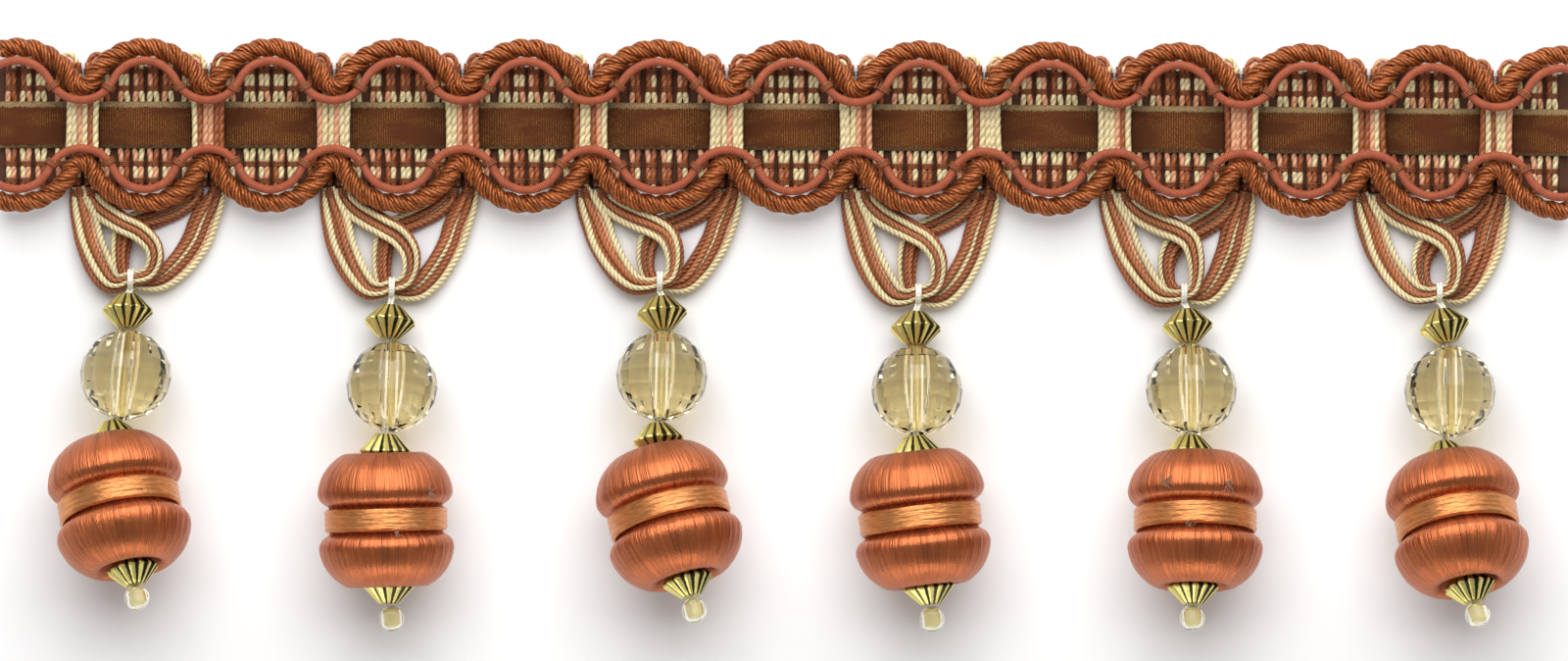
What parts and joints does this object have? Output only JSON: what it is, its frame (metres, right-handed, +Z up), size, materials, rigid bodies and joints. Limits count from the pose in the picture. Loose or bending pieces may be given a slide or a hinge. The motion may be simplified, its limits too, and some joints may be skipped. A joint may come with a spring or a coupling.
{
  "type": "beaded fringe trim",
  "caption": "Cut length of braided upholstery trimming: woven heading with scalloped ropes and a velvet ribbon, and bead drops on looped cords, lying face up",
  "frame": {"origin": "centre of the flat back of the heading, on the surface the trim lies on", "axes": "+X along the trim, +Y across it away from the drops, +Z up from the surface, out of the face side"},
  "size_m": [0.3106, 0.117, 0.0289],
  "materials": {
    "web": "woven multicolour yarn, cream, peach and rust",
    "velvet": "brown velvet pile with fine golden ribs",
    "rope": "twisted rust rayon rope, soft sheen",
    "gimp": "tightly wrapped coral gimp cord",
    "cords": "twisted cords in cream, peach and rust",
    "thread": "cream sewing thread",
    "gold": "metallised antique gold with dark grooves",
    "crystal": "clear pale champagne, faceted and polished",
    "floss": "copper silk floss wound lengthwise",
    "band": "light copper floss wound crosswise",
    "pale": "pale yellow gloss"
  },
  "bodies": {
    "root": {"heading_web": "web", "velvet_ribbon": "velvet", "rope_upper": "rope", "rope_lower": "rope", "gimp_upper": "gimp", "gimp_lower": "gimp", "cord_loops_1": "cords", "tie_thread_1": "thread", "bicone_top_1": "gold", "crystal_1": "crystal", "bicone_mid_1": "gold", "spool_1": "floss", "waist_band_1": "band", "bicone_low_1": "gold", "end_bead_1": "pale", "cord_loops_2": "cords", "tie_thread_2": "thread", "bicone_top_2": "gold", "crystal_2": "crystal", "bicone_mid_2": "gold", "spool_2": "floss", "waist_band_2": "band", "bicone_low_2": "gold", "end_bead_2": "pale", "cord_loops_3": "cords", "tie_thread_3": "thread", "bicone_top_3": "gold", "crystal_3": "crystal", "bicone_mid_3": "gold", "spool_3": "floss", "waist_band_3": "band", "bicone_low_3": "gold", "end_bead_3": "pale", "cord_loops_4": "cords", "tie_thread_4": "thread", "bicone_top_4": "gold", "crystal_4": "crystal", "bicone_mid_4": "gold", "spool_4": "floss", "waist_band_4": "band", "bicone_low_4": "gold", "end_bead_4": "pale", "cord_loops_5": "cords", "tie_thread_5": "thread", "bicone_top_5": "gold", "crystal_5": "crystal", "bicone_mid_5": "gold", "spool_5": "floss", "waist_band_5": "band", "bicone_low_5": "gold", "end_bead_5": "pale", "cord_loops_6": "cords", "tie_thread_6": "thread", "bicone_top_6": "gold", "crystal_6": "crystal", "bicone_mid_6": "gold", "spool_6": "floss", "waist_band_6": "band", "bicone_low_6": "gold", "end_bead_6": "pale"}
  },
  "joints": []
}
